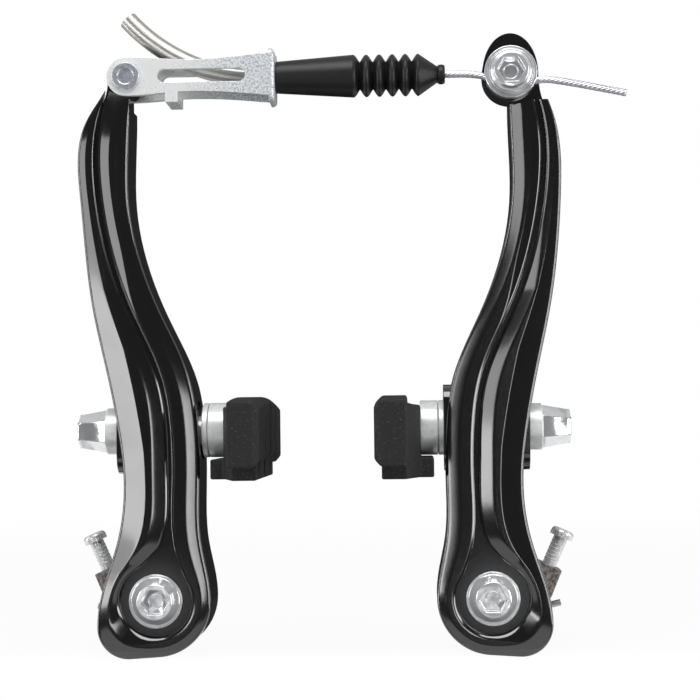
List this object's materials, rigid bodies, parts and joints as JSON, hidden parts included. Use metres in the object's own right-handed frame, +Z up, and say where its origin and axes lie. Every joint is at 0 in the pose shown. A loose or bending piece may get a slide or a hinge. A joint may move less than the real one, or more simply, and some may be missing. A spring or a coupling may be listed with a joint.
{
  "type": "linear pull rim brake",
  "caption": "Bicycle rim brake with long upright arms on frame pivots, rubber pads on studs, and a cable link, guide tube and bellows boot across the top.",
  "frame": {"origin": "midway between the two pivot axes, on the face of the frame's bosses", "axes": "+X across the wheel, +Y along the pivots into the frame, +Z up the arms"},
  "size_m": [0.118, 0.055, 0.1363],
  "materials": {
    "arm_enamel": "gloss black enamel over forged alloy",
    "bush_steel": "turned steel",
    "zinc_bolt": "bright zinc plate",
    "zinc_washer": "bright zinc plate, turned",
    "zinc_screw": "zinc plate",
    "sintered_steel": "matt sintered steel, edges rubbed bright",
    "spring_wire": "drawn spring wire",
    "pad_rubber": "moulded rubber, fine grain",
    "link_sheet": "pressed sheet, bright zinc, mottled",
    "noodle_steel": "drawn stainless tube",
    "boot_rubber": "satin moulded rubber",
    "cable_steel": "stranded wire"
  },
  "bodies": {
    "frame_side": {"left_pivot_bush": "bush_steel", "left_pivot_bolt": "zinc_bolt", "left_spring_plate": "sintered_steel", "left_return_spring": "spring_wire", "right_pivot_bush": "bush_steel", "right_pivot_bolt": "zinc_bolt", "right_spring_plate": "sintered_steel", "right_return_spring": "spring_wire"},
    "left_arm": {"left_arm": "arm_enamel", "left_spring_post": "zinc_screw", "left_brake_pad": "pad_rubber", "left_pad_stud": "zinc_screw", "left_cup_washer": "zinc_washer", "left_dome_washer": "zinc_washer", "left_outer_washer": "zinc_washer", "left_cap_nut": "zinc_bolt"},
    "right_arm": {"right_arm": "arm_enamel", "right_spring_post": "zinc_screw", "right_brake_pad": "pad_rubber", "right_pad_stud": "zinc_screw", "right_cup_washer": "zinc_washer", "right_dome_washer": "zinc_washer", "right_outer_washer": "zinc_washer", "right_cap_nut": "zinc_bolt", "anchor_bolt": "zinc_bolt", "anchor_washer": "zinc_washer"},
    "link": {"cable_link": "link_sheet", "link_pin": "link_sheet", "noodle": "noodle_steel", "boot": "boot_rubber"},
    "cable": {"inner_cable": "cable_steel"},
    "left_screw": {"left_adjuster_screw": "zinc_screw"},
    "right_screw": {"right_adjuster_screw": "zinc_screw"}
  },
  "joints": [
    {"name": "left_arm_pivot", "type": "hinge", "parent": "frame_side", "child": "left_arm", "pos_m": [-0.035, 0, 0], "axis": [0, 1, 0], "range_deg": [0, 4], "stiffness_Nm_per_rad": 1.5, "springref_deg": -29.79, "deforming": ["left_return_spring", "boot", "inner_cable"]},
    {"name": "right_arm_pivot", "type": "hinge", "parent": "frame_side", "child": "right_arm", "pos_m": [0.035, 0, 0], "axis": [0, -1, 0], "range_deg": [0, 4], "stiffness_Nm_per_rad": 1.5, "springref_deg": -29.79, "deforming": ["right_return_spring"]},
    {"name": "link_hinge", "type": "hinge", "parent": "left_arm", "child": "link", "pos_m": [-0.0405, -0.016, 0.11], "axis": [0, 1, 0], "range_deg": [-4, 0]},
    {"name": "cable_swing", "type": "hinge", "parent": "right_arm", "child": "cable", "pos_m": [0.0405, -0.016, 0.11], "axis": [0, 1, 0], "range_deg": [0, 4], "deforming": ["inner_cable"]},
    {"name": "left_screw_turn", "type": "hinge", "parent": "frame_side", "child": "left_screw", "pos_m": [-0.0478, -0.0038, 0.0056], "axis": [-0.4067, 0, 0.9135], "continuous": true},
    {"name": "right_screw_turn", "type": "hinge", "parent": "frame_side", "child": "right_screw", "pos_m": [0.0478, -0.0038, 0.0056], "axis": [0.4067, 0, 0.9135], "continuous": true}
  ],
  "couplings": [
    {"joint": "right_arm_pivot", "follows": "left_arm_pivot", "ratio": 1},
    {"joint": "link_hinge", "follows": "left_arm_pivot", "ratio": -1},
    {"joint": "cable_swing", "follows": "left_arm_pivot", "ratio": 1}
  ]
}
